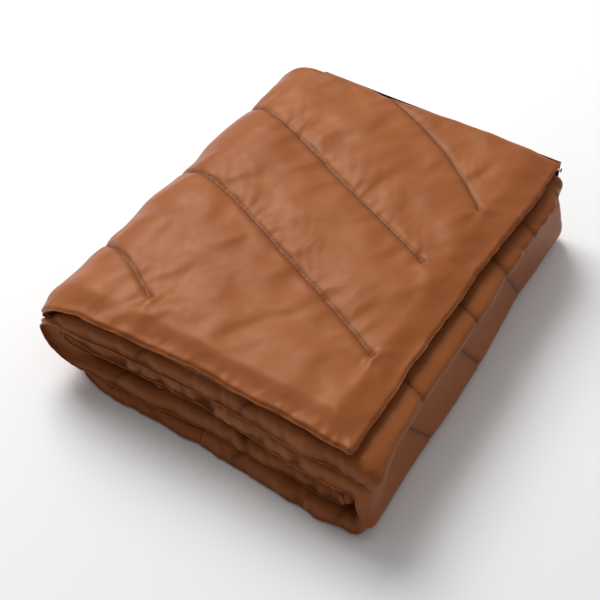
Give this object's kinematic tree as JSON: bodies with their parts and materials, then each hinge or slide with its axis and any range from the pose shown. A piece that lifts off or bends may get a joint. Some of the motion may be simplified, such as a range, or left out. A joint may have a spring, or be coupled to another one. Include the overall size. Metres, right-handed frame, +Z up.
{
  "type": "infrared sauna blanket",
  "caption": "Copper satin quilted infrared sauna blanket, a zipped bag of two heated quilts letter-folded in thirds, with a zip and a controller inlet on its far edge.",
  "frame": {"origin": "centre of the folded stack's footprint, on the surface it lies on", "axes": "+X towards the free end of the top third, +Y along the folds towards the zipped edge, +Z up"},
  "size_m": [0.5999, 0.72, 0.18],
  "materials": {
    "copper_cloth": "satin",
    "lining_cloth": "satin",
    "wadding": "matte",
    "heater_felt": "satin",
    "heating_tape": "matte",
    "zip_tape": "matte",
    "zip_coil": "satin",
    "zip_metal": "satin",
    "inlet_plastic": "matte",
    "contact_brass": "polished",
    "lead_rubber": "matte",
    "label_cloth": "matte"
  },
  "bodies": {
    "base": {"foot_outer_cover": "copper_cloth", "foot_outer_lining": "lining_cloth", "foot_outer_wadding": "wadding", "foot_outer_felt": "heater_felt", "foot_outer_heating_tape": "heating_tape", "foot_inner_cover": "copper_cloth", "foot_inner_lining": "lining_cloth", "foot_inner_wadding": "wadding", "foot_inner_felt": "heater_felt", "foot_inner_heating_tape": "heating_tape", "middle_inner_cover": "copper_cloth", "middle_inner_lining": "lining_cloth", "middle_inner_wadding": "wadding", "middle_inner_felt": "heater_felt", "middle_inner_heating_tape": "heating_tape", "middle_outer_cover": "copper_cloth", "middle_outer_lining": "lining_cloth", "middle_outer_wadding": "wadding", "middle_outer_felt": "heater_felt", "middle_outer_heating_tape": "heating_tape", "left_outer_bend": "copper_cloth", "left_inner_bend": "copper_cloth", "right_outer_wrap": "copper_cloth", "right_inner_wrap": "copper_cloth", "foot_end_join": "copper_cloth", "near_seam_base": "copper_cloth", "zip_folded_stretch": "zip_tape", "inlet_socket": "inlet_plastic", "inlet_backing_plate": "inlet_plastic", "inlet_contacts": "contact_brass", "inlet_rivets": "contact_brass", "lead_harness": "lead_rubber", "thermal_cutouts": "inlet_plastic", "temperature_sensor": "lead_rubber", "care_label": "label_cloth"},
    "top_third": {"head_outer_cover": "copper_cloth", "head_outer_lining": "lining_cloth", "head_outer_wadding": "wadding", "head_outer_felt": "heater_felt", "head_outer_heating_tape": "heating_tape", "head_inner_cover": "copper_cloth", "head_inner_lining": "lining_cloth", "head_inner_wadding": "wadding", "head_inner_felt": "heater_felt", "head_inner_heating_tape": "heating_tape", "near_seam_head": "copper_cloth", "zip_tape_outer": "zip_tape", "zip_tape_inner": "zip_tape", "zip_coil_outer": "zip_coil", "zip_coil_inner": "zip_coil", "zip_stops": "zip_metal"},
    "slider": {"zip_slider": "zip_metal"},
    "pull_tab": {"zip_pull_tab": "zip_metal"}
  },
  "joints": [
    {"name": "top_third_fold", "type": "hinge", "parent": "base", "child": "top_third", "pos_m": [-0.255, 0, 0.09], "axis": [0, -1, 0], "range_deg": [0, 180], "deforming": ["left_outer_bend", "left_inner_bend"]},
    {"name": "zip_slide", "type": "slide", "parent": "top_third", "child": "slider", "axis": [-1, 0, 0], "range_m": [0, 0.43]},
    {"name": "pull_tab_turn", "type": "hinge", "parent": "slider", "child": "pull_tab", "pos_m": [0.242, 0.3584, 0.15013], "axis": [0, 0, -1], "range_deg": [0, 165]}
  ]
}
